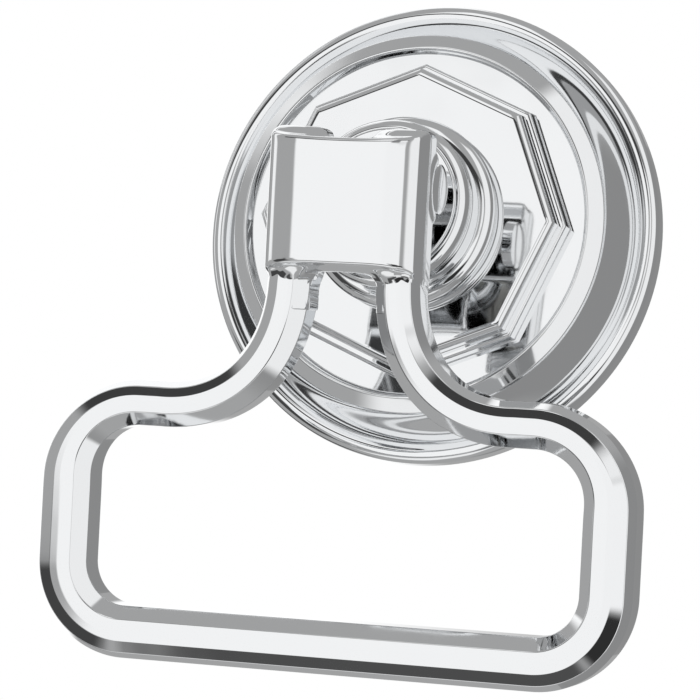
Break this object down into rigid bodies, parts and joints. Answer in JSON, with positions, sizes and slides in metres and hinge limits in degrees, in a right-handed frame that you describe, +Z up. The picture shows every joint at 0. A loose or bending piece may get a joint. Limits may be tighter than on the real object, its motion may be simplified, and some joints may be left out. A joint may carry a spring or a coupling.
{
  "type": "towel_ring",
  "caption": "Wall-mounted towel ring: a closed loop of bar hangs from a pin on a round stepped escutcheon and swings outwards.",
  "frame": {"origin": "on the wall face of the bracket, at the axis of the escutcheon", "axes": "+Z up, -Y straight out from the wall, +X to the right as seen from the front"},
  "size_m": [0.1024, 0.0876, 0.1217],
  "materials": {
    "polished_chrome": "polished chrome plate over cast and turned brass",
    "steel": "plain stainless steel, as machined",
    "zinc_plate": "dull zinc-plated pressed steel",
    "nylon": "natural nylon, slightly waxy"
  },
  "bodies": {
    "root": {"wall_bracket": "zinc_plate", "wall_screw_upper": "steel", "wall_screw_lower": "steel", "wall_anchor_upper": "nylon", "wall_anchor_lower": "nylon", "escutcheon": "polished_chrome", "lock_set_screw": "steel", "boss_collar": "polished_chrome", "post": "polished_chrome", "post_screw": "steel", "flat_washer": "steel", "lock_washer": "steel", "locating_pin": "steel", "tongue_bush_left": "nylon", "tongue_bush_right": "nylon"},
    "ring": {"ring_bar": "polished_chrome", "head_plate": "polished_chrome", "hinge_pin": "steel", "pin_cap_left": "polished_chrome", "pin_cap_right": "polished_chrome", "thrust_washer_left": "nylon", "thrust_washer_right": "nylon"}
  },
  "joints": [
    {"name": "ring_swing", "type": "hinge", "parent": "root", "child": "ring", "pos_m": [0, -0.0447, 0], "axis": [-1, 0, 0], "range_deg": [-22, 90]}
  ]
}
